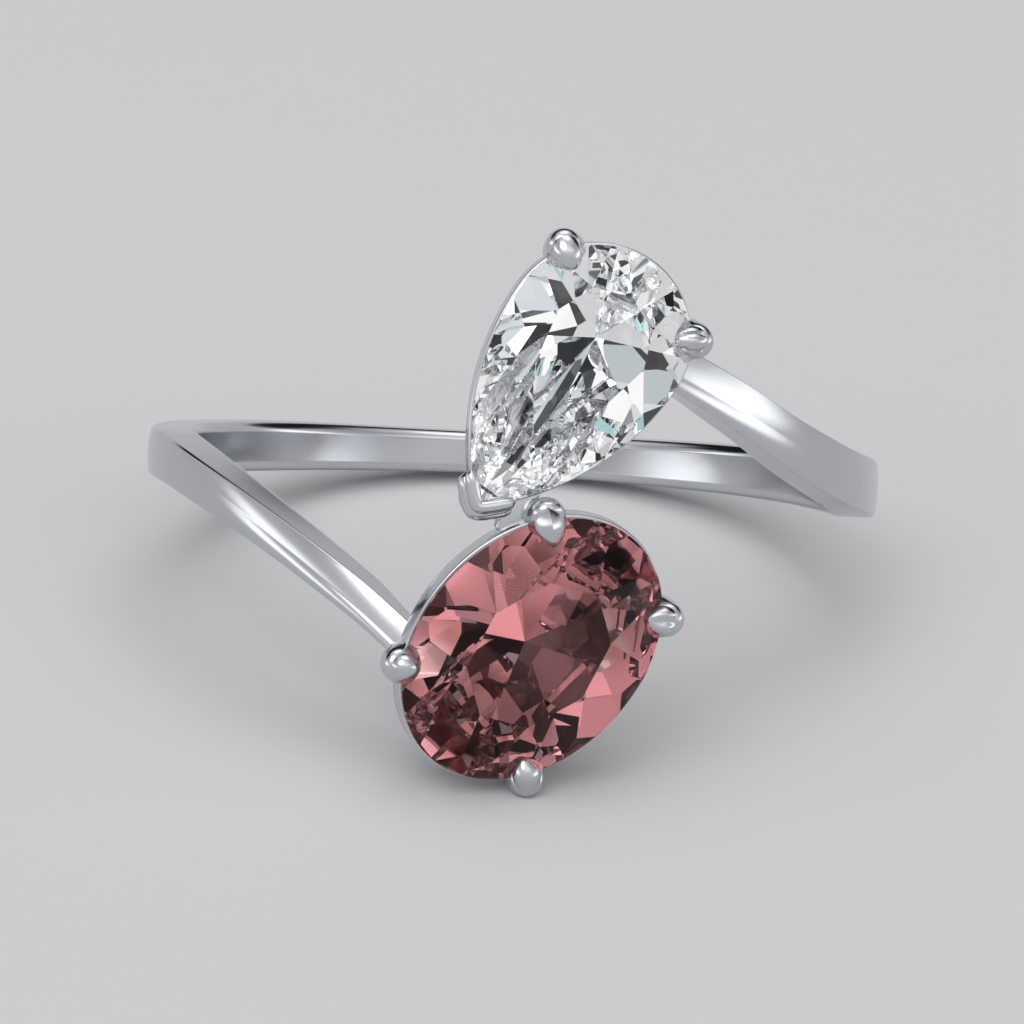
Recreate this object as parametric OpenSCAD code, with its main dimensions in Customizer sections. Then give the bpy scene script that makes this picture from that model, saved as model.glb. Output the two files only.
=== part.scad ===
// Two-stone bypass ring that lies on its side: a silver mount, a pear stone and an oval stone.
// The ring is first drawn in its own frame: finger axis along Z, the stones facing -Y.
// lay_down() then turns it onto the surface it rests on, with the origin under its middle.

/* [Band] */
// Inner radius of the band
finger_r = 9.05; // [8.5:0.05:9.6]
// Radius of the band's inner edges
inner_round = 0.28; // [0.2:0.02:0.32]
// How far the band's outer face is domed
outer_dome = 0.1; // [0.04:0.02:0.16]

/* [Stones] */
// Length of the oval stone
oval_l = 8; // [7.6:0.1:8.2]
// Width of the oval stone
oval_w = 6; // [5.6:0.1:6.2]
// Length of the pear stone
pear_l = 8; // [7.6:0.1:8.2]
// Width of the pear stone
pear_w = 5; // [4.8:0.1:5.2]
// Width of the table as a share of the stone
table_share = 0.56; // [0.5:0.01:0.62]
// Girdle height at the facet corners
girdle_h = 0.26; // [0.24:0.01:0.3]

/* [Heads] */
// Distance from the finger axis to the girdles
girdle_y = 12.05; // [11.95:0.05:12.3]
// Turn of the oval head's face towards its lower right side
oval_lean = 8; // [0:1:10]
// Width of the prongs at the girdle
prong_w = 0.94; // [0.8:0.02:1]
// Gap between a stone and its seat
seat_gap = 0.05; // [0.03:0.01:0.08]

/* [Pose] */
// Nose-up turn of the ring where it lies on its side
rest_pitch = 18.5; // [15:0.1:25]
// Sideways turn of the ring where it lies on its side
rest_roll = 2; // [-6:0.1:6]

/* [Hidden] */

// Columns of the band table
ANGLE = 0;
MIDDLE = 1;
WIDTH = 2;
THICK = 3;
RISE = 4;
CORNER = 5;
// Angle from the front through the left side, height of the middle, width, thickness,
// rise of the inner face off the finger, radius of the outer corners
band = [
    [15, -5.15, 1.30, 1.42, 0.55, 0.05],
    [20, -4.38, 1.25, 1.42, 0.34, 0.05],
    [30, -3.05, 1.17, 1.40, -0.06, 0.06],
    [45, -1.60, 1.14, 1.36, -0.06, 0.08],
    [60, -0.60, 1.21, 1.34, -0.06, 0.12],
    [75, -0.04, 1.31, 1.34, -0.06, 0.18],
    [90, 0.10, 1.42, 1.36, -0.06, 0.24],
    [130, 0.00, 1.46, 1.34, -0.06, 0.24],
    [180, -0.10, 1.24, 1.30, -0.06, 0.22],
    [230, -0.10, 1.46, 1.32, -0.06, 0.24],
    [270, -0.06, 1.70, 1.34, -0.06, 0.24],
    [285, 0.12, 1.64, 1.28, -0.06, 0.18],
    [300, 0.56, 1.58, 1.20, -0.06, 0.12],
    [315, 1.38, 1.56, 1.16, -0.06, 0.08],
    [330, 2.60, 1.46, 1.22, -0.06, 0.06],
    [342, 3.60, 1.34, 1.36, 0.24, 0.05],
    [348, 4.08, 1.30, 1.40, 0.50, 0.05]
];
band_step = 6;
dome_steps = 2;
corner_steps = 3;
inner_steps = 4;

oval_a = oval_l / 2;
oval_b = oval_w / 2;
pear_r = pear_w / 2;
pear_tip = pear_l - pear_r;
pear_side_r = (pear_r * pear_r + pear_tip * pear_tip) / (2 * pear_r);
pear_side_c = pear_side_r - pear_r;

// Where the stones' middles lie across and along the finger, and how their long axes turn
oval_at = [-0.54, -4.02];
oval_turn = 48;
pear_at = [0.82, 4.36];
pear_turn = 57;

mains = 8;
per_main = 8;
outline_n = mains * per_main;
crown_share = 0.155;
depth_share = 0.43;
star_height = 0.65;
lower_half_depth = 0.29;

rail_out = 0.06;
rail_in = 0.5;
rail_top = -0.12;
rail_bottom = -0.95;
foot_out = -1.05;
foot_in = -1.55;
foot_top = -1.85;
foot_bottom = -2.3;

// Columns of the prong table
OUT = 0;
UP = 1;
SIZE = 2;
// Distance outside the outline, height over the girdle and radius as a share of the prong's
prong_path = [
    [-1.30, -2.25, 0.80],
    [-0.90, -1.60, 0.84],
    [-0.35, -0.80, 0.92],
    [0.10, -0.20, 1.00],
    [0.18, 0.12, 1.00],
    [0.12, 0.36, 0.90],
    [-0.04, 0.54, 0.70],
    [-0.22, 0.64, 0.44],
    [-0.36, 0.67, 0.16]
];
// The tip prong's leg stops inside its folded wall
tip_leg_rows = 4;
prong_sides = 12;
oval_prongs = [47, 133, 231, 319];
pear_prongs = [56, -56];
tip_prong_span = 15;
tip_prong_out = 0.42;
tip_prong_in = 0.2;
tip_prong_top = 0.4;
bridge_at = [-1.05, -11.4, -0.35];
bridge_size = [0.8, 0.7, 1.4];
bridge_turn = 20;
bore_h = 24;

// Brings the laid ring's box onto the origin, with its lowest point at height 0
rest_shift = [0.01, 2.21, 3.91];

// Row of the band table that an angle lies after
function row_before(a, i = 0) =
    i >= len(band) - 2 || a < band[i + 1][ANGLE] ? i : row_before(a, i + 1);

// Slope of a column at a row, from the rows on both sides
function slope(i, c) =
    let (lo = max(i - 1, 0), hi = min(i + 1, len(band) - 1))
    (band[hi][c] - band[lo][c]) / (band[hi][ANGLE] - band[lo][ANGLE]);

// Smooth value of one column of the band table at an angle
function along(a, c) =
    let (
        i = row_before(a),
        span = band[i + 1][ANGLE] - band[i][ANGLE],
        t = (a - band[i][ANGLE]) / span,
        t2 = t * t,
        t3 = t2 * t
    )
    (2 * t3 - 3 * t2 + 1) * band[i][c]
    + (t3 - 2 * t2 + t) * span * slope(i, c)
    + (3 * t2 - 2 * t3) * band[i + 1][c]
    + (t3 - t2) * span * slope(i + 1, c);

// Upper half of the band's section, from the middle of the outer face to the inner face,
// as distance from the finger surface and height over the middle
function half_section(w, t, rise, corner) =
    let (h = w / 2, side = t - outer_dome, inside = max(rise, 0) + inner_round)
    concat(
        [for (k = [0:dome_steps])
            let (z = (h - corner) * k / (dome_steps + 1))
            [t - outer_dome * pow(z / h, 2), z]],
        [for (k = [0:corner_steps])
            let (q = 90 * k / corner_steps)
            [side - corner + corner * cos(q), h - corner + corner * sin(q)]],
        [for (k = [0:inner_steps - 1])
            let (q = 90 * k / inner_steps)
            [inside - inner_round * sin(q), h - inner_round + inner_round * cos(q)]],
        [[rise, h - inner_round]]
    );

function mirrored(half) = [for (i = [len(half) - 1:-1:1]) [half[i].x, -half[i].y]];

function section(w, t, rise, corner) =
    let (half = half_section(w, t, rise, corner))
    concat(half, mirrored(half));

// One ring of points of the band at an angle
function band_ring(a) =
    let (middle = along(a, MIDDLE))
    [for (p = section(along(a, WIDTH), along(a, THICK), along(a, RISE), along(a, CORNER)))
        [-(finger_r + p.x) * sin(a), -(finger_r + p.x) * cos(a), middle + p.y]];

module band_body() {
    first = band[0][ANGLE];
    last = band[len(band) - 1][ANGLE];
    rings = round((last - first) / band_step);
    n = len(band_ring(first));
    points = [for (k = [0:rings]) each band_ring(first + (last - first) * k / rings)];
    sides = [for (k = [0:rings - 1], i = [0:n - 1])
        let (j = (i + 1) % n, a = k * n, b = a + n)
        each [[a + i, b + i, a + j], [a + j, b + i, b + j]]];
    start_cap = [for (i = [0:n - 1]) i];
    end_cap = [for (i = [n - 1:-1:0]) rings * n + i];
    polyhedron(points, concat(sides, [start_cap, end_cap]), convexity = 8);
}

// Point of a stone's outline: 0 degrees is the round end, 180 degrees the pear's tip
function outline(kind, p, grow) = kind == "oval" ? oval_point(p, grow) : pear_point(p, grow);

function oval_point(p, grow) =
    let (n = [oval_b * cos(p), oval_a * sin(p)])
    [oval_a * cos(p), oval_b * sin(p)] + grow * n / norm(n);

function pear_point(p, grow) =
    let (
        q = p > 180 ? p - 360 : p,
        s = sign(q),
        side_r = pear_side_r + grow,
        sweep = acos(pear_side_c / side_r),
        v = sweep * (abs(q) - 90) / 90
    )
    abs(q) <= 90
        ? (pear_r + grow) * [cos(q), sin(q)]
        : [-side_r * sin(v), s * (side_r * cos(v) - pear_side_c)];

function outline_loop(kind, grow) =
    [for (i = [0:outline_n - 1]) outline(kind, 360 * i / outline_n, grow)];

// Where two sloping planes, each given by a point and a normal, meet at a height
function meet(p1, n1, p2, n2, z) =
    let (
        c1 = n1 * p1 - n1.z * z,
        c2 = n2 * p2 - n2.z * z,
        d = n1.x * n2.y - n1.y * n2.x
    )
    [(c1 * n2.y - c2 * n1.y) / d, (n1.x * c2 - n2.x * c1) / d, z];

// Height of the plane through three points over a point of the outline
function plane_z(a, b, c, q) =
    let (n = cross(b - a, c - a))
    a.z - (n.x * (q.x - a.x) + n.y * (q.y - a.y)) / n.z;

function level(q, z) = [q.x, q.y, z];

// Normal of a main facet, which holds an inner point and the outline's direction at its corner
function main_normal(kind, p, grow, corner, inner) =
    let (along_edge = outline(kind, p + 1, grow) - outline(kind, p - 1, grow))
    cross(level(along_edge, 0), inner - corner);

// Outline points of one side, lowered or raised onto the half facets that meet them
function half_facet_rim(kind, grow, corner_z, meets) =
    [for (i = [0:outline_n - 1])
        let (
            j = floor(i / per_main),
            first_half = i % per_main <= per_main / 2,
            p0 = 45 * j + (first_half ? 0 : 22.5),
            q = outline(kind, 360 * i / outline_n, grow),
            a = level(outline(kind, p0, grow), corner_z),
            b = level(outline(kind, p0 + 22.5, grow), corner_z)
        )
        level(q, plane_z(meets[j], a, b, q))];

// Brilliant cut stone with its girdle at height 0: table, 8 stars, 8 mains and 16 halves above,
// 8 mains and 16 halves below
module brilliant(kind, grow = 0) {
    width = kind == "oval" ? oval_w : pear_w;
    crown = crown_share * width + grow;
    depth = depth_share * width + grow;
    top = girdle_h / 2;
    table = [for (j = [0:mains - 1]) level(table_share * outline(kind, 45 * j, grow), top + crown)];
    culet = [0, 0, -top - depth];
    up = [for (j = [0:mains - 1])
        main_normal(kind, 45 * j, grow, level(outline(kind, 45 * j, grow), top), table[j])];
    down = [for (j = [0:mains - 1])
        main_normal(kind, 45 * j, grow, level(outline(kind, 45 * j, grow), -top), culet)];
    stars = [for (j = [0:mains - 1])
        meet(table[j], up[j], table[(j + 1) % mains], up[(j + 1) % mains], top + star_height * crown)];
    lowers = [for (j = [0:mains - 1])
        meet(culet, down[j], culet, down[(j + 1) % mains], -top - lower_half_depth * depth)];
    rim_top = half_facet_rim(kind, grow, top, stars);
    rim_low = half_facet_rim(kind, grow, -top, lowers);

    star_at = mains;
    lower_at = 2 * mains;
    top_at = 3 * mains;
    low_at = top_at + outline_n;
    culet_at = low_at + outline_n;
    half = per_main / 2;
    faces = concat(
        [[for (j = [mains - 1:-1:0]) j]],
        [for (j = [0:mains - 1]) [j, (j + 1) % mains, star_at + j]],
        [for (j = [0:mains - 1])
            [j, star_at + j, top_at + j * per_main, star_at + (j + mains - 1) % mains]],
        [for (j = [0:mains - 1], side = [0, half])
            concat([star_at + j],
                [for (k = [half:-1:0]) top_at + (j * per_main + side + k) % outline_n])],
        [for (i = [0:outline_n - 1])
            let (n = (i + 1) % outline_n)
            [top_at + i, top_at + n, low_at + n, low_at + i]],
        [for (j = [0:mains - 1], side = [0, half])
            concat([lower_at + j],
                [for (k = [0:half]) low_at + (j * per_main + side + k) % outline_n])],
        [for (j = [0:mains - 1])
            [culet_at, lower_at + (j + mains - 1) % mains, low_at + j * per_main, lower_at + j]]
    );
    polyhedron(concat(table, stars, lowers, rim_top, rim_low, [culet]), faces, convexity = 2);
}

// Round bar along a prong's path in the upright plane through the outline's normal
module leg(kind, p, path) {
    base = outline(kind, p, 0);
    away = outline(kind, p, 1) - base;
    side = [-away.y, away.x, 0];
    last = len(path) - 1;
    points = [for (i = [0:last])
        let (
            row = path[i],
            ahead = path[min(i + 1, last)] - path[max(i - 1, 0)],
            n = level(ahead[UP] * away, -ahead[OUT]) / norm([ahead[OUT], ahead[UP]]),
            r = row[SIZE] * prong_w / 2
        )
        each [for (k = [0:prong_sides - 1])
            let (q = 360 * k / prong_sides)
            level(base + row[OUT] * away, row[UP]) + r * (cos(q) * n + sin(q) * side)]];
    walls = [for (i = [0:last - 1], k = [0:prong_sides - 1])
        let (j = (k + 1) % prong_sides, a = i * prong_sides, b = a + prong_sides)
        each [[a + k, b + k, a + j], [a + j, b + k, b + j]]];
    foot_cap = [for (k = [0:prong_sides - 1]) k];
    tip_cap = [for (k = [prong_sides - 1:-1:0]) last * prong_sides + k];
    polyhedron(points, concat(walls, [foot_cap, tip_cap]), convexity = 4);
}

// Band of metal that follows a stone's outline between two offsets
module rail(kind, outer, inner, bottom, top) {
    difference() {
        translate([0, 0, bottom])
            linear_extrude(height = top - bottom) polygon(outline_loop(kind, outer));
        translate([0, 0, bottom - 1])
            linear_extrude(height = top - bottom + 2) polygon(outline_loop(kind, inner));
    }
}

// Folded wall that holds the pear's tip, with its leg
module tip_prong() {
    n = 6;
    span = [for (k = [-n:n]) 180 + tip_prong_span * k / n];
    outer = [for (p = span) outline("pear", p, tip_prong_out)];
    inner = [for (p = span) outline("pear", p, -tip_prong_in)];
    translate([0, 0, rail_bottom])
        linear_extrude(height = tip_prong_top - rail_bottom)
            polygon(concat(outer, [for (k = [len(inner) - 1:-1:0]) inner[k]]));
    leg("pear", 180, [for (i = [0:tip_leg_rows - 1]) prong_path[i]]);
}

module head(kind, prongs) {
    rail(kind, rail_out, -rail_in, rail_bottom, rail_top);
    rail(kind, foot_out, foot_in, foot_bottom, foot_top);
    for (p = prongs) leg(kind, p, prong_path);
}

// Stone frames: the face looks out along -Y and the long axis turns in that plane
module place_oval() {
    translate([oval_at.x, -girdle_y, oval_at.y])
        rotate([90, 0, 0])
            rotate([oval_lean / sqrt(2), oval_lean / sqrt(2), 0])
                rotate([0, 0, oval_turn]) children();
}

module place_pear() {
    translate([pear_at.x, -girdle_y, pear_at.y])
        rotate([90, 0, 0])
            rotate([0, 0, pear_turn]) children();
}

module bridge() {
    translate(bridge_at)
        rotate([0, bridge_turn, 0])
            cube(bridge_size, center = true);
}

module lay_down() {
    translate(rest_shift)
        rotate([-rest_pitch, rest_roll, 0]) children();
}

module silver_mount() {
    color("silver") lay_down() {
        difference() {
            band_body();
            cylinder(h = bore_h, r = finger_r, center = true, $fn = 96);
        }
        difference() {
            place_oval() head("oval", oval_prongs);
            place_oval() brilliant("oval", seat_gap);
        }
        difference() {
            union() {
                place_pear() {
                    head("pear", pear_prongs);
                    tip_prong();
                }
                bridge();
            }
            place_pear() brilliant("pear", seat_gap);
            place_oval() brilliant("oval", seat_gap);
        }
    }
}

module pear_stone() {
    color("aliceblue") lay_down() place_pear() brilliant("pear");
}

module oval_stone() {
    color("palevioletred") lay_down() place_oval() brilliant("oval");
}

silver_mount();
pear_stone();
oval_stone();
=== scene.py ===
import math

import bmesh
import bpy
from mathutils import Matrix, Vector


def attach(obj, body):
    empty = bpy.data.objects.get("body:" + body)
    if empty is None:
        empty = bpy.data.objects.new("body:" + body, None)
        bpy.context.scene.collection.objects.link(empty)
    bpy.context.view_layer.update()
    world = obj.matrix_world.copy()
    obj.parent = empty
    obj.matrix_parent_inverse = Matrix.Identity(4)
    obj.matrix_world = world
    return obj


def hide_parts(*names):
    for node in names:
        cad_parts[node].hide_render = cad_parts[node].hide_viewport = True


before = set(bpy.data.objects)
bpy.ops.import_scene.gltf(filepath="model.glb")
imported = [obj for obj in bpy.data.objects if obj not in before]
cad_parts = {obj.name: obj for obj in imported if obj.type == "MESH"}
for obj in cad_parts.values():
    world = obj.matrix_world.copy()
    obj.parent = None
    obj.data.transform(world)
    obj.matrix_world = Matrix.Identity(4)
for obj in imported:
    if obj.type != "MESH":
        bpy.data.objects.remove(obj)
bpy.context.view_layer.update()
print("frame loaded:", sorted(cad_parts))

# All shapes below are drawn in millimetres in the ring's own frame: the finger's axis is Z and
# the stones face -Y. layDown turns them onto the floor, in metres.
lie = {"pitch": 18.5, "roll": 2.0, "shift": (0.01, 2.21, 3.91)}
mm = 0.001
layDown = (
    Matrix.Scale(mm, 4)
    @ Matrix.Translation(lie["shift"])
    @ Matrix.Rotation(math.radians(lie["roll"]), 4, "Y")
    @ Matrix.Rotation(math.radians(-lie["pitch"]), 4, "X")
)
weldDistance = 0.0005


def newPiece():
    bm = bmesh.new()
    bm.verts.layers.int.new("place")
    return bm


def finishPiece(bm, name, material, sharpAngle=32):
    # a sharp angle of 0 leaves every face flat, as on a cut stone
    bmesh.ops.remove_doubles(bm, verts=bm.verts, dist=weldDistance)
    bmesh.ops.recalc_face_normals(bm, faces=bm.faces)
    for face in bm.faces:
        face.smooth = sharpAngle > 0
    for edge in bm.edges:
        if len(edge.link_faces) == 2 and edge.calc_face_angle(0) > math.radians(sharpAngle):
            edge.smooth = False
    bm.transform(layDown)
    mesh = bpy.data.meshes.new(name)
    bm.to_mesh(mesh)
    bm.free()
    piece = bpy.data.objects.new(name, mesh)
    bpy.context.scene.collection.objects.link(piece)
    mesh.materials.append(material)
    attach(piece, "root")
    print("made", name, len(mesh.polygons), "faces")
    return piece


# shader maths: a socket that can be added and multiplied, and that starts other nodes
class Socket:
    def __init__(self, tree, value=None):
        self.tree = tree
        self.value = value

    def node(self, kind, settings=None, inputs=None, output=0):
        made = self.tree.nodes.new(kind)
        for key, value in (settings or {}).items():
            if key == "steps":
                made.color_ramp.interpolation = value
            elif key == "stops":
                ramp = made.color_ramp
                while len(ramp.elements) < len(value):
                    ramp.elements.new(0.5)
                for element, (position, color) in zip(ramp.elements, value):
                    element.position = position
                    element.color = color
            else:
                setattr(made, key, value)
        for key, value in (inputs or {}).items():
            if isinstance(value, Socket):
                self.tree.links.new(value.value, made.inputs[key])
            else:
                made.inputs[key].default_value = value
        return Socket(self.tree, made.outputs[output] if made.outputs else None)

    def math(self, operation, first, second):
        return self.node("ShaderNodeMath", {"operation": operation}, {0: first, 1: second})

    def __add__(self, other):
        return self.math("ADD", self, other)

    def __radd__(self, other):
        return self.math("ADD", other, self)

    def __mul__(self, other):
        return self.math("MULTIPLY", self, other)

    def __rmul__(self, other):
        return self.math("MULTIPLY", other, self)

    def vector(self, operation, other, output="Vector"):
        return self.node("ShaderNodeVectorMath", {"operation": operation}, {0: self, 1: other}, output)

    def rise(self, start, end, curve="SMOOTHSTEP"):
        # 0 up to the start and 1 from the end on; the end may be the lower one
        return self.node("ShaderNodeMapRange", {"interpolation_type": curve}, {0: self, 1: start, 2: end})

    def mix(self, first, second):
        # the socket says how much of the second colour shows
        return self.node("ShaderNodeMix", {"data_type": "RGBA"}, {0: self, 6: first, 7: second}, output=2)

    def patchwork(self, scale, stops):
        # cells round points in space, each with one of the colours
        cell = self.node("ShaderNodeTexVoronoi", {}, {"Vector": self, "Scale": scale}, output="Color")
        share = cell.node("ShaderNodeSeparateColor", {}, {0: cell})
        return share.node("ShaderNodeValToRGB", {"steps": "CONSTANT", "stops": stops}, {0: share})


def newMaterial(name):
    material = bpy.data.materials.new(name)
    material.use_nodes = True
    material.node_tree.nodes.clear()
    return material, Socket(material.node_tree)


silverLook = {
    "light": (0.62, 0.635, 0.655, 1),
    "shade": (0.52, 0.54, 0.57, 1),
    "cloudScale": 260.0,  # soft clouds in the polish
    "cloudDetail": 3.0,
    "hairScale": 5200.0,  # hairlines, felt only as bump
    "hairDetail": 2.0,
    "roughLow": 0.12,
    "roughSpan": 0.08,
    "bump": 0.04,
    "bumpDepth": 0.00002,
}


def makeSilver():
    look = silverLook
    material, paint = newMaterial("polishedSilver")
    where = paint.node("ShaderNodeTexCoord", output="Object")
    cloud = where.node(
        "ShaderNodeTexNoise", {},
        {"Vector": where, "Scale": look["cloudScale"], "Detail": look["cloudDetail"]},
    )
    hair = where.node(
        "ShaderNodeTexNoise", {},
        {"Vector": where, "Scale": look["hairScale"], "Detail": look["hairDetail"]},
    )
    bump = hair.node(
        "ShaderNodeBump", {},
        {"Strength": look["bump"], "Distance": look["bumpDepth"], "Height": hair},
    )
    shader = paint.node(
        "ShaderNodeBsdfPrincipled", {},
        {
            "Base Color": cloud.mix(look["light"], look["shade"]),
            "Metallic": 1.0,
            "Roughness": look["roughLow"] + look["roughSpan"] * cloud,
            "Normal": bump,
        },
    )
    paint.node("ShaderNodeOutputMaterial", {}, {"Surface": shader})
    return material


silver = makeSilver()

band = {
    "fingerRadius": 9.05,
    "innerRound": 0.28,
    "innerRoundSteps": 8,
    "cornerSteps": 4,
    "stepDegrees": 1.5,
    "sharpAngle": 26,
    "flatDome": 0.03,  # how far the flat part of the outer face is domed
    "roundDrop": 0.17,  # how far the rounded part falls to the upper edge
    "roundSlope": 0.22,  # share of that fall that is a straight slope
    # angle from the front through the left side, height of the middle, width, thickness, rise of
    # the inner face off the finger, outer corner radius, flat share of the outer face
    "rows": [
        (15, -5.15, 1.30, 1.42, 0.55, 0.03, 0.26),
        (20, -4.38, 1.25, 1.42, 0.34, 0.03, 0.28),
        (30, -3.05, 1.17, 1.40, -0.06, 0.03, 0.33),
        (45, -1.60, 1.14, 1.36, -0.06, 0.03, 0.48),
        (60, -0.60, 1.21, 1.34, -0.06, 0.04, 0.66),
        (75, -0.04, 1.31, 1.34, -0.06, 0.14, 0.84),
        (90, 0.10, 1.42, 1.36, -0.06, 0.24, 0.97),
        (130, 0.00, 1.46, 1.34, -0.06, 0.24, 0.97),
        (180, -0.10, 1.24, 1.30, -0.06, 0.22, 0.97),
        (230, -0.10, 1.46, 1.32, -0.06, 0.24, 0.97),
        (270, -0.06, 1.70, 1.34, -0.06, 0.24, 0.97),
        (285, 0.12, 1.64, 1.28, -0.06, 0.14, 0.86),
        (300, 0.56, 1.58, 1.20, -0.06, 0.04, 0.70),
        (315, 1.38, 1.56, 1.16, -0.06, 0.03, 0.52),
        (330, 2.60, 1.46, 1.22, -0.06, 0.03, 0.40),
        (342, 3.60, 1.34, 1.36, 0.24, 0.03, 0.34),
        (348, 4.08, 1.30, 1.40, 0.50, 0.03, 0.30),
    ],
    # where a section's points lie along each of its faces
    "flatStops": (0, 0.05, 0.2, 0.4, 0.6, 0.8, 0.95),
    "roundStops": (0, 0.08, 0.2, 0.35, 0.5, 0.65, 0.8, 0.92),
    "sideStops": (0.06, 0.35, 0.65, 0.94),
    "innerStops": (0.92, 0.5, 0, -0.5, -0.92),
}


def bandAt(angle):
    # the table's values at an angle, carried smoothly from row to row
    rows = band["rows"]
    i = 0
    while i < len(rows) - 2 and angle >= rows[i + 1][0]:
        i += 1

    def slope(k, column):
        before = rows[max(k - 1, 0)]
        after = rows[min(k + 1, len(rows) - 1)]
        return (after[column] - before[column]) / (after[0] - before[0])

    here, ahead = rows[i], rows[i + 1]
    span = ahead[0] - here[0]
    t = (angle - here[0]) / span
    hereShare = 2 * t**3 - 3 * t**2 + 1
    hereBend = t**3 - 2 * t**2 + t
    aheadShare = 3 * t**2 - 2 * t**3
    aheadBend = t**3 - t**2
    return [
        hereShare * here[c] + hereBend * span * slope(i, c)
        + aheadShare * ahead[c] + aheadBend * span * slope(i + 1, c)
        for c in range(1, len(here))
    ]


def arc(x, z, radius, start, end, steps):
    angles = [math.radians(start + (end - start) * k / steps) for k in range(steps + 1)]
    return [(x + radius * math.cos(angle), z + radius * math.sin(angle)) for angle in angles]


def bandSection(width, thick, rise, corner, flatShare):
    # points (distance off the finger, height) round the section, from its lower outer corner
    half = width / 2
    inner = max(rise, 0.0)
    inRound = band["innerRound"]
    low = -half + corner
    high = half - corner
    split = low + (high - low) * flatShare
    flatMiddle = (low + split) / 2
    flatHalf = max((split - low) / 2, 0.001)

    def outerFace(z):
        if z <= split:
            return (thick - band["flatDome"] * ((z - flatMiddle) / flatHalf) ** 2, z)
        fall = band["roundDrop"] * (high - split) / (high - low)
        past = (z - split) / (high - split)
        straight = band["roundSlope"]
        return (thick - band["flatDome"] - fall * (straight * past + (1 - straight) * past**2), z)

    def side(fromX, toX, z):
        return [(fromX + (toX - fromX) * f, z) for f in band["sideStops"]]

    bottom = outerFace(low)[0] - corner
    top = outerFace(high)[0] - corner
    inside = inner + inRound
    points = arc(bottom, low, corner, -90, 0, band["cornerSteps"])[:-1]
    points += [outerFace(low + (split - low) * f) for f in band["flatStops"]]
    points += [outerFace(split + (high - split) * f) for f in band["roundStops"]]
    points += arc(top, high, corner, 0, 90, band["cornerSteps"])
    points += side(top, inside, half)
    points += arc(inside, half - inRound, inRound, 90, 180, band["innerRoundSteps"])
    points += [(inner, (half - inRound) * f) for f in band["innerStops"]]
    points += arc(inside, -half + inRound, inRound, 180, 270, band["innerRoundSteps"])
    points += side(inside, bottom, -half)
    return points


def onFinger(off, angle, z):
    reach = band["fingerRadius"] + off
    return (-reach * math.sin(math.radians(angle)), -reach * math.cos(math.radians(angle)), z)


def makeBand():
    # one section is spun round the finger, then each copy is given its own place and shape
    first, last = band["rows"][0][0], band["rows"][-1][0]
    profile = bandSection(*bandAt(first)[1:])
    bm = newPiece()
    place = bm.verts.layers.int["place"]
    loop = bmesh.ops.create_circle(bm, segments=len(profile), radius=1)["verts"]
    for k, (vert, (off, z)) in enumerate(zip(loop, profile)):
        vert.co = onFinger(off, first, z)
        vert[place] = k
    bmesh.ops.spin(
        bm, geom=bm.verts[:] + bm.edges[:], cent=(0, 0, 0), axis=(0, 0, -1), dvec=(0, 0, 0),
        angle=math.radians(last - first), steps=round((last - first) / band["stepDegrees"]),
    )
    sections = {}
    for vert in bm.verts:
        angle = round(math.degrees(math.atan2(-vert.co.x, -vert.co.y)) % 360, 3)
        if angle not in sections:
            values = bandAt(angle)
            sections[angle] = (values[0], bandSection(*values[1:]))
        middle, points = sections[angle]
        off, z = points[vert[place]]
        vert.co = onFinger(off, angle, middle + z)
    bmesh.ops.holes_fill(bm, edges=[e for e in bm.edges if e.is_boundary])
    piece = finishPiece(bm, "band", silver, band["sharpAngle"])
    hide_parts("silver_mount")


makeBand()

# the two stones' outlines and places, which their settings follow
oval = {"length": 8.0, "width": 6.0, "at": (-0.54, -12.05, -4.02), "turn": 48, "lean": 8}
pear = {"length": 8.0, "width": 5.0, "at": (0.82, -12.05, 4.36), "turn": 57, "lean": 0}


def ovalPoint(degrees, grow):
    a, b = oval["length"] / 2, oval["width"] / 2
    c, s = math.cos(math.radians(degrees)), math.sin(math.radians(degrees))
    normal = Vector((b * c, a * s, 0)).normalized()
    return Vector((a * c, b * s, 0)) + grow * normal


def pearPoint(degrees, grow):
    # half a circle round the head, then two wide arcs that meet in the tip at 180 degrees
    r = pear["width"] / 2
    tip = pear["length"] - r
    sideRadius = (r * r + tip * tip) / (2 * r)
    sideCentre = sideRadius - r
    q = degrees - 360 if degrees > 180 else degrees
    if abs(q) <= 90:
        return (r + grow) * Vector((math.cos(math.radians(q)), math.sin(math.radians(q)), 0))
    grown = sideRadius + grow
    sweep = math.acos(sideCentre / grown)
    v = sweep * (abs(q) - 90) / 90
    return Vector((-grown * math.sin(v), math.copysign(grown * math.cos(v) - sideCentre, q), 0))


def headPlace(stone):
    # X along the stone, Z out of its table; it leans alike to its side and upwards
    lean = math.radians(stone["lean"] / math.sqrt(2))
    return (
        Matrix.Translation(stone["at"])
        @ Matrix.Rotation(math.radians(90), 4, "X")
        @ Matrix.Rotation(lean, 4, "Y")
        @ Matrix.Rotation(lean, 4, "X")
        @ Matrix.Rotation(math.radians(stone["turn"]), 4, "Z")
    )


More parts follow.
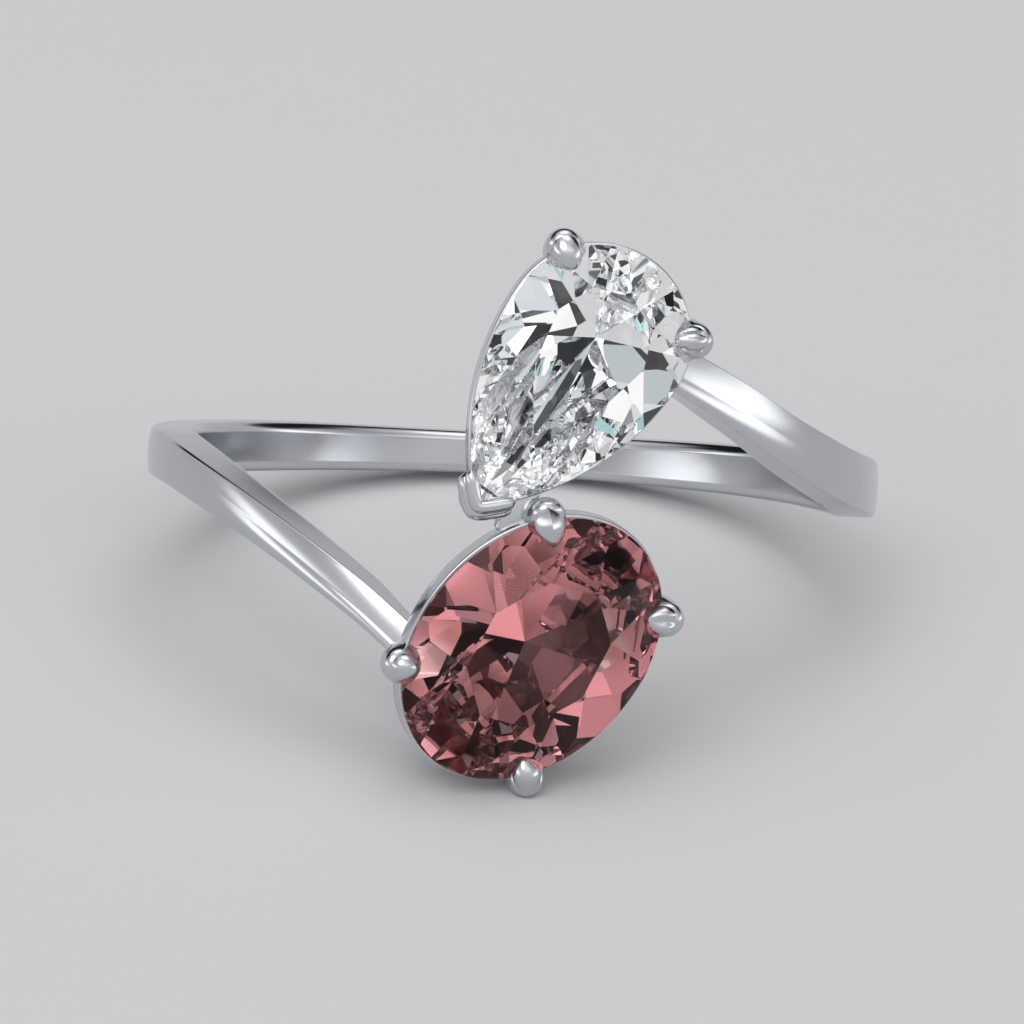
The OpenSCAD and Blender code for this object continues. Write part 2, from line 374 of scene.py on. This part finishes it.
def loft(bm, loops, closed=False):
    # one ring of points is extruded from loop to loop; a closed run ends on its first loop
    place = bm.verts.layers.int["place"]
    ring = bmesh.ops.create_circle(bm, segments=len(loops[0]), radius=1)["verts"]
    for k, (vert, point) in enumerate(zip(ring, loops[0])):
        vert.co = point
        vert[place] = k
    firstEdges = edges = list({e for v in ring for e in v.link_edges})
    for points in loops[1:] + (loops[:1] if closed else []):
        grown = bmesh.ops.extrude_edge_only(bm, edges=edges)["geom"]
        fresh = {v for v in grown if isinstance(v, bmesh.types.BMVert)}
        edges = [e for e in grown if isinstance(e, bmesh.types.BMEdge) and fresh.issuperset(e.verts)]
        for vert in fresh:
            vert.co = points[vert[place]]
    if not closed:
        for rim in (firstEdges, edges):
            bmesh.ops.edgeloop_fill(bm, edges=rim)


def circleAt(centre, radius, across, side, count):
    turns = [2 * math.pi * k / count for k in range(count)]
    return [centre + radius * (math.cos(turn) * across + math.sin(turn) * side) for turn in turns]


# rings under a stone: distances outside its outline, heights over its girdle, edge radius
rail = {"outer": 0.06, "inner": -0.5, "bottom": -0.95, "top": -0.12, "seat": -0.68, "r": 0.05, "steps": 3}
foot = {"outer": -1.05, "inner": -1.55, "bottom": -2.3, "top": -1.85, "r": 0.1, "steps": 3}
ringSections = 128


def addRing(bm, outline, profile):
    angles = [360 * k / ringSections for k in range(ringSections)]
    loops = [[outline(angle, grow) + Vector((0, 0, z)) for angle in angles] for grow, z in profile]
    loft(bm, loops, closed=True)


def lowerEdges(outer, inner, bottom, r, steps):
    return (
        arc(inner + r, bottom + r, r, 180, 270, steps)
        + arc(outer - r, bottom + r, r, 270, 360, steps)
    )


def footProfile(outer, inner, bottom, top, r, steps):
    return (
        arc(outer - r, top - r, r, 0, 90, steps) + arc(inner + r, top - r, r, 90, 180, steps)
        + lowerEdges(outer, inner, bottom, r, steps)
    )


def railProfile(outer, inner, bottom, top, seat, r, steps):
    # upright outside, narrow lip, then the seat that slopes down under the stone
    return (
        arc(outer - r, top - r, r, 0, 90, steps) + [(outer - 2 * r, top)] + [(inner, seat)]
        + lowerEdges(outer, inner, bottom, r, steps)
    )


prong = {
    "radius": 0.47,
    "sides": 24,
    # distance outside the outline, height over the girdle, share of the radius
    "path": [
        (-1.30, -2.25, 0.80), (-0.90, -1.60, 0.84), (-0.38, -0.90, 0.98), (-0.14, -0.55, 1.22),
        (0.00, -0.30, 1.24), (0.10, -0.08, 1.12), (0.14, 0.06, 1.04), (0.14, 0.16, 0.98),
        (0.13, 0.23, 0.90), (0.12, 0.28, 0.76), (0.11, 0.31, 0.55), (0.10, 0.33, 0.2),
    ],
    # the claw that the prong ends in; ridge, lines and hollow work its top and may be left out
    "claw": {"at": (-0.01, 0.24), "long": 0.52, "wide": 0.39, "tall": 0.34, "tilt": 12, "point": 0.3},
}
clawShape = {
    "around": 32,
    "rings": 20,
    "pointPower": 1.5,
    "ridgePower": 0.3,
    "linesAt": 0.5,  # places and widths across the claw, as shares of its half width
    "linesWide": 0.1,
    "hollowWide": 0.35,
}


def prongAxes(outline, degrees):
    base = outline(degrees, 0)
    away = (outline(degrees, 1) - base).normalized()
    side = Vector((-away.y, away.x, 0))
    return base, away, side


def prongStations(outline, degrees, path):
    base, away, side = prongAxes(outline, degrees)
    loops = []
    for i, (out, up, share) in enumerate(path):
        after, before = path[min(i + 1, len(path) - 1)], path[max(i - 1, 0)]
        stepOut, stepUp = after[0] - before[0], after[1] - before[1]
        across = (stepUp * away + Vector((0, 0, -stepOut))) / math.hypot(stepOut, stepUp)
        centre = base + out * away + Vector((0, 0, up))
        loops.append(circleAt(centre, share * prong["radius"], across, side, prong["sides"]))
    return loops


def addClaw(bm, outline, degrees, claw):
    base, away, side = prongAxes(outline, degrees)
    tilt = math.radians(claw["tilt"])
    forward = (-math.cos(tilt) * away + Vector((0, 0, math.sin(tilt)))).normalized()
    up = side.cross(forward)
    if up.z < 0:
        up = -up
    centre = base + claw["at"][0] * away + Vector((0, 0, claw["at"][1]))
    shape = clawShape
    ball = bmesh.ops.create_uvsphere(
        bm, u_segments=shape["around"], v_segments=shape["rings"], radius=1)["verts"]
    for vert in ball:
        f, s, u = vert.co.z, vert.co.x, vert.co.y  # the poles lie along the claw
        belly = 1 - f * f
        if u > 0:
            u += claw.get("ridge", 0) * (max(belly, 0) ** shape["ridgePower"] - abs(s) - u)
            offLine = (abs(s) - shape["linesAt"]) / shape["linesWide"]
            u -= claw.get("lines", 0) * math.exp(-(offLine**2)) * belly
            u -= claw.get("hollow", 0) * math.exp(-((s / shape["hollowWide"]) ** 2)) * belly
        taper = 1 - claw["point"] * max(f, 0) ** shape["pointPower"]
        vert.co = (
            centre + f * claw["long"] * forward + s * taper * claw["wide"] * side
            + u * taper * claw["tall"] * up
        )


def startSetting(outline, prongs):
    bm = newPiece()
    addRing(bm, outline, railProfile(**rail))
    addRing(bm, outline, footProfile(**foot))
    for degrees, extra in prongs:
        loft(bm, prongStations(outline, degrees, prong["path"]))
        addClaw(bm, outline, degrees, {**prong["claw"], **extra})
    return bm


# where each prong stands round its stone, and what differs on its claw
ovalProngs = [
    (47, {"long": 0.60, "wide": 0.42, "tall": 0.4, "at": (-0.12, 0.24), "ridge": 0.7, "point": 0.35}),
    (133, {"long": 0.43, "wide": 0.37, "at": (0.02, 0.25), "point": 0.25}),
    (231, {}),
    (319, {"long": 0.48, "wide": 0.40, "hollow": 0.35}),
]


def makeOvalSetting():
    bm = startSetting(ovalPoint, ovalProngs)
    bm.transform(headPlace(oval))
    piece = finishPiece(bm, "ovalSetting", silver)
    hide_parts("silver_mount")


makeOvalSetting()

pearProngs = [
    (56, {"long": 0.56, "wide": 0.41, "at": (-0.03, 0.24), "point": 0.2}),
    (-56, {"wide": 0.42, "lines": 0.35, "point": 0.2}),
]
tipProng = {
    "at": 180,
    "span": 15,  # degrees to either side of the tip
    "steps": 20,
    "sides": 16,
    "softened": 3,  # how often the fold is smoothed
    "endSteps": 3,
    "endRadius": 0.1,  # share of the radius at the very end
    "stemStations": 4,
    # tube radius, distance outside the outline, height
    "tubes": [(0.27, 0.16, -0.12), (0.19, 0.05, 0.2)],
}


def addTipProng(bm):
    # two tubes folded round the pear's tip, one above the other, on a stem
    count = tipProng["steps"]
    thin = tipProng["endRadius"]
    upward = Vector((0, 0, 1))
    for radius, grow, height in tipProng["tubes"]:
        turns = [tipProng["at"] + tipProng["span"] * (2 * k / count - 1) for k in range(count + 1)]
        path = [pearPoint(turn, grow) + height * upward for turn in turns]
        for _ in range(tipProng["softened"]):
            inner = [(path[k - 1] + 2 * path[k] + path[k + 1]) / 4 for k in range(1, count)]
            path = [path[0]] + inner + [path[-1]]
        loops = []
        for k, point in enumerate(path):
            ahead = (path[min(k + 1, count)] - path[max(k - 1, 0)]).normalized()
            fromEnd = min(min(k, count - k) / tipProng["endSteps"], 1)
            share = math.sqrt(1 - (1 - fromEnd) ** 2) * (1 - thin) + thin
            loops.append(circleAt(point, radius * share, ahead.cross(upward), upward, tipProng["sides"]))
        loft(bm, loops)
    loft(bm, prongStations(pearPoint, tipProng["at"], prong["path"][:tipProng["stemStations"]]))


def makePearSetting():
    bm = startSetting(pearPoint, pearProngs)
    addTipProng(bm)
    bm.transform(headPlace(pear))
    piece = finishPiece(bm, "pearSetting", silver)
    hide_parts("silver_mount")


makePearSetting()

# the small block that joins the two settings
bridge = {"at": (-1.05, -11.4, -0.35), "size": (0.8, 0.7, 1.4), "turn": 20, "edge": 0.08, "edgeSteps": 3}


def makeBridge():
    bm = bmesh.new()
    bmesh.ops.create_cube(bm, size=1)
    bmesh.ops.scale(bm, vec=bridge["size"], verts=bm.verts)
    bmesh.ops.bevel(
        bm, geom=bm.edges[:], offset=bridge["edge"], affect="EDGES",
        segments=bridge["edgeSteps"], profile=0.5, material=-1,
    )
    turned = Matrix.Rotation(math.radians(bridge["turn"]), 4, "Y")
    bm.transform(Matrix.Translation(bridge["at"]) @ turned)
    piece = finishPiece(bm, "bridge", silver)
    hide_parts("silver_mount")


makeBridge()
print("settings finished")

# Colour that light takes at the top of a stone, with painted shade and a painted highlight in spots,
# and on its underside a painted patchwork of dark, teal and white flashes that stands in for reflections.
# Places on a stone and radii are in millimetres.
clearLook = {
    "ior": 2.42,
    "rough": 0.002,
    "glare": (0.08, 0.08, 0.08, 1),
    "top": (1, 1, 1, 1),
    "paintedShadeAndHighlight": [],
    # painted reflections: black, teal, grey and white flashes on the underside of the clear stone
    "paintedFlashes": [
        (0.0, (0.01, 0.011, 0.012, 1)), (0.33, (0.1, 0.55, 0.58, 1)), (0.37, (0.5, 0.54, 0.56, 1)),
        (0.5, (1, 1, 1, 1)),
    ],
    "cellsPerMetre": 2200,
    "stretch": 0.85,  # how far the cells are drawn out along the stone
    "glow": 0.27,  # painted glow: emission that stands in for the sparkle of the small facets near the tip
    "glowFrom": -1.5,
    "glowFull": -3.5,
}
pinkLook = {
    "ior": 1.8,
    "rough": 0.002,
    "glare": (0.08, 0.08, 0.08, 1),
    "top": (0.82, 0.31, 0.33, 1),
    # place, radius and colour of painted shade in two dark lobes along the stone, and of one painted
    # highlight
    "paintedShadeAndHighlight": [
        ((2.0, -0.7), 1.9, (0.30, 0.12, 0.11, 1)), ((-2.1, -0.5), 2.2, (0.22, 0.08, 0.07, 1)),
        ((-2.2, 1.9), 0.8, (0.95, 0.72, 0.70, 1)),
    ],
    # painted reflections and painted shade: dark brown and bright pink flashes on the underside
    "paintedFlashes": [
        (0.0, (0.02, 0.01, 0.01, 1)), (0.55, (0.2, 0.14, 0.12, 1)), (0.68, (0.8, 0.3, 0.33, 1)),
        (0.85, (1, 0.5, 0.53, 1)),
    ],
    "cellsPerMetre": 700,
    "stretch": 0.0,
    "glow": 0.0,
}
stoneFade = 0.2  # depth under the girdle over which the top's colour gives way to the painted patchwork of flashes
spotHeight = 0.5
spotCore = 0.5  # share of a spot's radius that has its full colour


def makeStoneMaterial(name, look, stone):
    material, paint = newMaterial(name)
    place = layDown @ headPlace(stone)
    length = (place.to_3x3() @ Vector((1, 0, 0))).normalized()
    axis = (place.to_3x3() @ Vector((0, 0, 1))).normalized()
    where = paint.node("ShaderNodeTexCoord", output="Object")
    fromMiddle = where.vector("SUBTRACT", place.translation)
    along = fromMiddle.vector("DOT_PRODUCT", length, "Value")
    under = fromMiddle.vector("DOT_PRODUCT", axis, "Value").rise(0, -stoneFade * mm, "LINEAR")
    pull = paint.node(
        "ShaderNodeVectorMath", {"operation": "SCALE"},
        {0: length, "Scale": along * look["stretch"]},
    )
    # painted reflections: the patchwork of flashes that stands in for light caught in the facets
    patches = where.vector("SUBTRACT", pull).patchwork(look["cellsPerMetre"], look["paintedFlashes"])
    crown = look["top"]
    # painted shade and a painted highlight, each a soft spot mixed over the top's colour
    for spot, radius, paintedTone in look["paintedShadeAndHighlight"]:
        away = where.vector("DISTANCE", place @ Vector((*spot, spotHeight)), "Value")
        crown = away.rise(radius * mm, spotCore * radius * mm).mix(crown, paintedTone)
    inputs = {
        "Base Color": under.mix(crown, patches),
        "Roughness": look["rough"],
        "IOR": look["ior"],
        "Specular Tint": look["glare"],
        "Transmission Weight": 1.0,
    }
    # painted glow: near the tip the patchwork is given off as light, in place of the facets' sparkle
    if look["glow"] > 0:
        nearTip = along.rise(look["glowFrom"] * mm, look["glowFull"] * mm)
        inputs["Emission Color"] = (under * nearTip).mix((0, 0, 0, 1), patches)
        inputs["Emission Strength"] = look["glow"]
    shader = paint.node("ShaderNodeBsdfPrincipled", {}, inputs)
    paint.node("ShaderNodeOutputMaterial", {}, {"Surface": shader})
    return material


cut = {
    "outlineSteps": 96,
    "girdle": 0.16,
    "table": 0.56,  # width of the table as a share of the stone
    "crown": 0.155,  # height over the girdle as a share of the width
    "depth": 0.43,  # depth under the girdle as a share of the width
    "block": 6.0,
    # facets in steps of a full turn: first facet, step, how steep against the mains
    "crownRows": [(0.0, 45.0, 1.0), (11.25, 22.5, 1.2)],
    "pavilionRows": [(0.0, 45.0, 1.0), (11.25, 22.5, 1.05)],
    "stars": 8,
    "starHeight": 0.62,  # share of the crown's height that a star comes down to
    "starReach": 0.42,  # share of the way to the outline at which it is there
    "tangent": 0.5,  # degrees to either side that give the outline's direction
    "tolerance": 0.00002,
}


def cutBy(bm, point, normal):
    # takes off what lies beyond a plane and closes the cut with one facet
    gone = bmesh.ops.bisect_plane(
        bm, geom=bm.verts[:] + bm.edges[:] + bm.faces[:], dist=cut["tolerance"],
        plane_co=point, plane_no=normal, clear_outer=True,
    )
    edges = [e for e in gone["geom_cut"] if isinstance(e, bmesh.types.BMEdge)]
    rim = [e for e in edges if e.is_valid and e.is_boundary]
    if rim:
        bmesh.ops.contextual_create(bm, geom=rim)


def cutRow(bm, outline, rows, level, rise):
    # each facet lies along the outline and meets the stone's axis at a height
    for first, step, steep in rows:
        for k in range(round(360 / step)):
            degrees = first + k * step
            edge = outline(degrees, 0) + Vector((0, 0, level))
            along = outline(degrees + cut["tangent"], 0) - outline(degrees - cut["tangent"], 0)
            normal = along.cross(Vector((0, 0, level + rise * steep)) - edge).normalized()
            cutBy(bm, edge, normal if normal.dot(edge) >= 0 else -normal)


def makeStone(name, outline, stone, material, node):
    bm = bmesh.new()
    count = cut["outlineSteps"]
    top = cut["girdle"] / 2
    crown = cut["crown"] * stone["width"]
    depth = cut["depth"] * stone["width"]
    verts = bmesh.ops.create_circle(bm, segments=count, radius=1)["verts"]
    for k, vert in enumerate(verts):
        vert.co = outline(360 * k / count, 0) - Vector((0, 0, cut["block"] / 2))
    base = bmesh.ops.contextual_create(bm, geom=bm.edges[:])["faces"]
    raised = bmesh.ops.extrude_face_region(bm, geom=base)["geom"]
    raisedVerts = [v for v in raised if isinstance(v, bmesh.types.BMVert)]
    bmesh.ops.translate(bm, vec=(0, 0, cut["block"]), verts=raisedVerts)

    apex = crown / (1 - cut["table"])  # where the crown mains would meet over the table
    cutRow(bm, outline, cut["crownRows"], top, apex)
    cutRow(bm, outline, cut["pavilionRows"], -top, -depth)
    tableMiddle = Vector((0, 0, top + crown))
    cutBy(bm, tableMiddle, Vector((0, 0, 1)))
    step = 360 / cut["stars"]
    for k in range(cut["stars"]):  # stars between the table and the mains
        here = cut["table"] * outline(step * k, 0) + tableMiddle
        there = cut["table"] * outline(step * (k + 1), 0) + tableMiddle
        low = ((here + there) / 2).lerp(outline(step * (k + 0.5), 0), cut["starReach"])
        low.z = top + cut["starHeight"] * crown
        normal = (there - here).cross(low - here).normalized()
        cutBy(bm, here, normal if normal.z > 0 else -normal)
    bm.transform(headPlace(stone))
    piece = finishPiece(bm, name, material, 0)
    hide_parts(node)


clearStone = makeStoneMaterial("clearStone", clearLook, pear)
pinkStone = makeStoneMaterial("pinkStone", pinkLook, oval)
makeStone("pearStone", pearPoint, pear, clearStone, "pear_stone")
makeStone("ovalStone", ovalPoint, oval, pinkStone, "oval_stone")
print("stones finished")

stage = {"floorSize": 1.2, "floor": (0.69, 0.69, 0.70, 1), "floorRough": 0.8}


def makeFloor():
    material, paint = newMaterial("paleFloor")
    shader = paint.node(
        "ShaderNodeBsdfPrincipled", {},
        {"Base Color": stage["floor"], "Roughness": stage["floorRough"]},
    )
    paint.node("ShaderNodeOutputMaterial", {}, {"Surface": shader})
    bm = bmesh.new()
    bmesh.ops.create_grid(bm, x_segments=1, y_segments=1, size=stage["floorSize"])
    mesh = bpy.data.meshes.new("floor")
    bm.to_mesh(mesh)
    bm.free()
    mesh.materials.append(material)
    floor = bpy.data.objects.new("floor", mesh)
    bpy.context.scene.collection.objects.link(floor)
    print("floor laid")


makeFloor()

sky = {
    # brightness from straight down (0) to straight up (1), before, beside and behind the ring
    "front": [(0.0, 0.5), (0.5, 1.0), (0.6, 1.1), (0.7, 1.25), (0.76, 1.9), (0.92, 2.0), (1.0, 1.3)],
    "beside": [
        (0.0, 0.5), (0.49, 1.8), (0.53, 3.0), (0.58, 2.9), (0.64, 1.0), (0.85, 0.7), (0.95, 1.3),
        (1.0, 1.4),
    ],
    "behind": [(0.0, 0.5), (0.5, 0.9), (0.63, 0.95), (0.66, 0.01), (0.83, 0.01), (0.9, 1.1), (1.0, 1.2)],
    "blue": 1.01,
    "besideFrom": (-0.75, -0.35),  # how far back the sides and the rear fade in
    "behindFrom": (0.0, 0.3),
    "strength": 0.66,
    # what the cut stones gather from the room: a patchwork of light and dark
    "patchScale": 12.0,
    "patchShift": (2.2, 6.4, 3.1),
    "patches": [
        (0.0, (0.03, 0.032, 0.036, 1)), (0.2, (0.09, 0.085, 0.09, 1)), (0.36, (0.5, 0.88, 0.92, 1)),
        (0.41, (0.75, 0.82, 0.86, 1)), (0.54, (1.0, 1.06, 1.1, 1)), (0.72, (1.45, 1.45, 1.45, 1)),
    ],
}


def makeRoom():
    world = bpy.data.worlds.new("softStudio")
    bpy.context.scene.world = world
    world.use_nodes = True
    world.node_tree.nodes.clear()
    direction = Socket(world.node_tree).node("ShaderNodeTexCoord", output="Generated")
    back = direction.node("ShaderNodeSeparateXYZ", {}, {0: direction}, output=1)
    height = direction.node("ShaderNodeSeparateXYZ", {}, {0: direction}, output=2)
    level = 0.5 + 0.5 * height

    def wall(rows):
        stops = [(at, (v, v, v * sky["blue"], 1)) for at, v in rows]
        return level.node("ShaderNodeValToRGB", {"stops": stops}, {0: level})

    room = back.rise(*sky["besideFrom"]).mix(wall(sky["front"]), wall(sky["beside"]))
    room = back.rise(*sky["behindFrom"]).mix(room, wall(sky["behind"]))
    patches = direction.vector("ADD", sky["patchShift"]).patchwork(sky["patchScale"], sky["patches"])
    inStone = direction.node("ShaderNodeLightPath", output="Is Transmission Ray")
    background = direction.node(
        "ShaderNodeBackground", {},
        {"Color": inStone.mix(room, patches), "Strength": sky["strength"]},
    )
    direction.node("ShaderNodeOutputWorld", {}, {"Surface": background})
    print("room lit")


makeRoom()

lamps = {
    "aim": (0, 0, 0.007),
    # name, place, size, watts
    "rows": [
        ("softKey", (-0.25, -0.35, 0.5), 0.45, 0.75),
        ("softTop", (0.05, 0.1, 0.6), 0.45, 0.45),
    ],
}


def makeLamps():
    for name, place, size, watts in lamps["rows"]:
        light = bpy.data.lights.new(name, "AREA")
        light.shape = "DISK"
        light.size = size
        light.energy = watts
        lamp = bpy.data.objects.new(name, light)
        lamp.location = place
        lamp.rotation_mode = "QUATERNION"
        lamp.rotation_quaternion = (Vector(lamps["aim"]) - Vector(place)).to_track_quat("-Z", "Y")
        bpy.context.scene.collection.objects.link(lamp)
    print("lamps hung")


makeLamps()

view = {
    "azimuth": -6.0,
    "elevation": 3.5,
    "roll": 2.8,
    "distance": 200.0,  # millimetres from the middle of the finger hole
    "picture": 1024,  # width of the picture that the two below are measured in
    "focal": 7030.0,
    "centre": (513.5, 470.0),
    "sensor": 36,
    "clip": (0.01, 10),
}


def makeCamera():
    azimuth, elevation, roll = (math.radians(view[k]) for k in ("azimuth", "elevation", "roll"))
    sinA, cosA = math.sin(azimuth), math.cos(azimuth)
    sinE, cosE = math.sin(elevation), math.cos(elevation)
    back = Vector((sinA * cosE, -cosA * cosE, sinE))
    across = Vector((cosA, sinA, 0))
    upward = Vector((-sinA * sinE, cosA * sinE, cosE))
    right = across * math.cos(roll) + upward * math.sin(roll)
    top = upward * math.cos(roll) - across * math.sin(roll)
    half = view["picture"] / 2
    offRight = half - view["centre"][0]
    offTop = view["centre"][1] - half
    aim = (-back * view["focal"] + right * offRight + top * offTop).normalized()
    aimRight = (right - right.dot(aim) * aim).normalized()
    facing = Matrix((aimRight, aimRight.cross(aim), -aim)).transposed()
    lens = bpy.data.cameras.new("camera")
    lens.sensor_width = view["sensor"]
    lens.lens = view["focal"] / view["picture"] * view["sensor"]
    lens.clip_start, lens.clip_end = view["clip"]
    camera = bpy.data.objects.new("camera", lens)
    turned = layDown.to_3x3().normalized() @ facing
    camera.matrix_world = Matrix.Translation(layDown @ (back * view["distance"])) @ turned.to_4x4()
    bpy.context.scene.collection.objects.link(camera)
    bpy.context.scene.camera = camera
    print("camera placed")


makeCamera()

bounces = {"max_bounces": 24, "glossy_bounces": 16, "transmission_bounces": 24}  # cut stones need many
for key, value in bounces.items():
    setattr(bpy.context.scene.cycles, key, value)
bpy.context.scene.view_settings.view_transform = "Standard"

print("scene ready")
